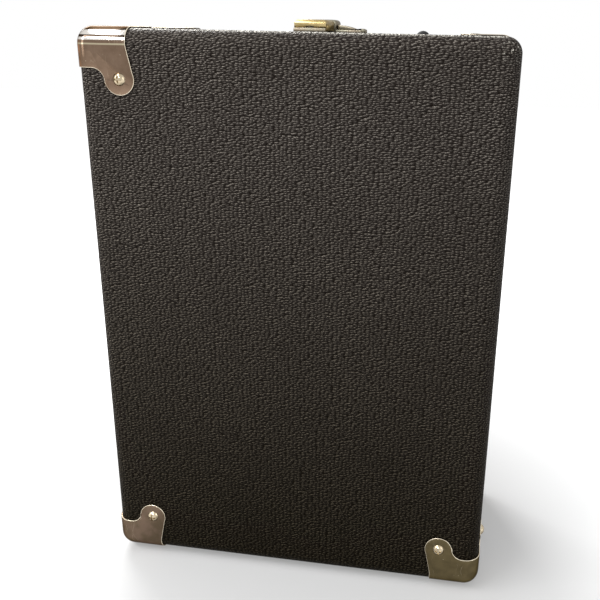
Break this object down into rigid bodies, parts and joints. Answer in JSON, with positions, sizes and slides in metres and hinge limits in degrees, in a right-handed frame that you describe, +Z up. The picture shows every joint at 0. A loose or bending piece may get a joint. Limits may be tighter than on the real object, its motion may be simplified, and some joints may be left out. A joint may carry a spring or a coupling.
{
  "type": "tube tester",
  "caption": "Portable tube tester in a black covered case with metal corner guards, hinged lid, top catch, side handle, and a panel with meter, sockets, knobs and buttons.",
  "frame": {"origin": "on the floor under the middle of the whole part's box, with the case standing on its end feet and its handle folded", "axes": "+Z up, the lid's outer face toward -Y, +X to the right as seen from the lid's side; the hinges and the handle are on the -X side"},
  "size_m": [0.2936, 0.1486, 0.394],
  "materials": {
    "vinyl": "fine-grained black vinyl over plywood",
    "nickel": "aged nickel plate, lightly scratched",
    "screw_steel": "nickel-plated steel",
    "catch_metal": "warm nickel plate",
    "black_rubber": "matt moulded rubber",
    "grip_plastic": "moulded, worn smooth",
    "lining_cloth": "bonded grey cloth",
    "fibreboard": "black pressed fibreboard",
    "batten_wood": "raw softwood",
    "bare_aluminium": "satin aluminium edge",
    "panel_paint": "grey hammered enamel on aluminium",
    "bakelite": "black bakelite",
    "window": "clear pane",
    "dial_card": "cream enamelled dial",
    "movement_metal": "magnet steel",
    "pointer_black": "black lacquered aluminium",
    "socket_brown": "brown moulded phenolic",
    "plated_steel": "bright plated steel",
    "contact_brass": "tinned brass",
    "red_plastic": "red moulded plastic",
    "black_plastic": "black moulded plastic",
    "jewel_red": "faceted red glass in a nickel bezel",
    "lens_amber": "amber lens in a nickel bezel",
    "circuit_resin": "resin-bonded board"
  },
  "bodies": {
    "base": {"base_shell": "vinyl", "base_valance": "bare_aluminium", "base_corner_guards": "nickel", "base_guard_screws": "screw_steel", "end_feet": "black_rubber", "back_feet": "black_rubber", "hinge_base_leaves": "nickel", "hinge_pins": "screw_steel", "catch_plate": "catch_metal", "top_bumper": "black_rubber", "handle_brackets": "nickel", "panel_battens": "batten_wood", "panel": "panel_paint", "panel_screws": "screw_steel", "meter_case": "bakelite", "meter_window": "window", "meter_dial": "dial_card", "meter_movement": "movement_metal", "socket_octal": "socket_brown", "socket_loctal": "socket_brown", "socket_compactron": "socket_brown", "socket_novar": "socket_brown", "socket_noval": "socket_brown", "socket_miniature": "socket_brown", "socket_nuvistor": "socket_brown", "pin_straightener_7": "plated_steel", "pin_straightener_9": "plated_steel", "socket_contacts": "contact_brass", "plate_cap_jack": "red_plastic", "pilot_jewel": "jewel_red", "shorts_lamp": "lens_amber", "fuse_holder": "bakelite", "mains_inlet": "bakelite", "power_switch": "plated_steel", "rotary_switches": "plated_steel", "potentiometers": "plated_steel", "button_switches": "plated_steel", "transformer": "movement_metal", "circuit_board": "circuit_resin"},
    "lid": {"lid_shell": "vinyl", "lid_lining": "lining_cloth", "chart_pocket": "fibreboard", "lid_corner_guards": "nickel", "lid_guard_screws": "screw_steel", "hinge_lid_leaves": "nickel", "catch_hinge_plate": "catch_metal", "catch_pin": "screw_steel"},
    "hasp": {"catch_hasp": "catch_metal"},
    "slide": {"catch_slide": "catch_metal"},
    "handle": {"handle_bail": "nickel", "handle_grip": "grip_plastic"},
    "pointer": {"meter_pointer": "pointer_black"},
    "toggle": {"power_toggle": "plated_steel"},
    "filament": {"filament_knob": "bakelite"},
    "function": {"function_knob": "bakelite"},
    "load": {"load_knob": "bakelite"},
    "bias": {"bias_knob": "bakelite"},
    "button_1": {"test_button_1": "red_plastic"},
    "button_2": {"test_button_2": "black_plastic"},
    "button_3": {"test_button_3": "black_plastic"}
  },
  "joints": [
    {"name": "catch_hasp_turn", "type": "hinge", "parent": "lid", "child": "hasp", "pos_m": [0.01115, -0.0304, 0.3896], "axis": [1, 0, 0], "range_deg": [0, 90]},
    {"name": "catch_slide_push", "type": "slide", "parent": "base", "child": "slide", "axis": [1, 0, 0], "range_m": [0, 0.003], "stiffness_N_per_m": 250, "springref_m": -0.001},
    {"name": "handle_swing", "type": "hinge", "parent": "base", "child": "handle", "pos_m": [-0.13935, 0.016, 0.1955], "axis": [0, 0, 1], "range_deg": [0, 95]},
    {"name": "lid_swing", "type": "hinge", "parent": "base", "child": "lid", "pos_m": [-0.13415, -0.018, 0.1955], "axis": [0, 0, -1], "range_deg": [0, 105]},
    {"name": "panel_bias_turn", "type": "hinge", "parent": "base", "child": "bias", "pos_m": [0.09015, -0.022, 0.1295], "axis": [0, 1, 0], "range_deg": [0, 270]},
    {"name": "panel_filament_turn", "type": "hinge", "parent": "base", "child": "filament", "pos_m": [-0.07785, -0.022, 0.1295], "axis": [0, 1, 0], "range_deg": [0, 330]},
    {"name": "panel_function_turn", "type": "hinge", "parent": "base", "child": "function", "pos_m": [-0.02185, -0.022, 0.1295], "axis": [0, 1, 0], "range_deg": [0, 150]},
    {"name": "panel_load_turn", "type": "hinge", "parent": "base", "child": "load", "pos_m": [0.03415, -0.022, 0.1295], "axis": [0, 1, 0], "range_deg": [0, 270]},
    {"name": "panel_meter_turn", "type": "hinge", "parent": "base", "child": "pointer", "pos_m": [0.00615, -0.012, 0.2975], "axis": [0, 1, 0], "range_deg": [0, 90], "stiffness_Nm_per_rad": 0.0008, "springref_deg": -20.05},
    {"name": "panel_power_flip", "type": "hinge", "parent": "base", "child": "toggle", "pos_m": [-0.08785, -0.013, 0.2915], "axis": [-1, 0, 0], "range_deg": [0, 34]},
    {"name": "panel_test_1_push", "type": "slide", "parent": "base", "child": "button_1", "axis": [0, 1, 0], "range_m": [0, 0.004], "stiffness_N_per_m": 400, "springref_m": -0.001},
    {"name": "panel_test_2_push", "type": "slide", "parent": "base", "child": "button_2", "axis": [0, 1, 0], "range_m": [0, 0.004], "stiffness_N_per_m": 400, "springref_m": -0.001},
    {"name": "panel_test_3_push", "type": "slide", "parent": "base", "child": "button_3", "axis": [0, 1, 0], "range_m": [0, 0.004], "stiffness_N_per_m": 400, "springref_m": -0.001}
  ]
}
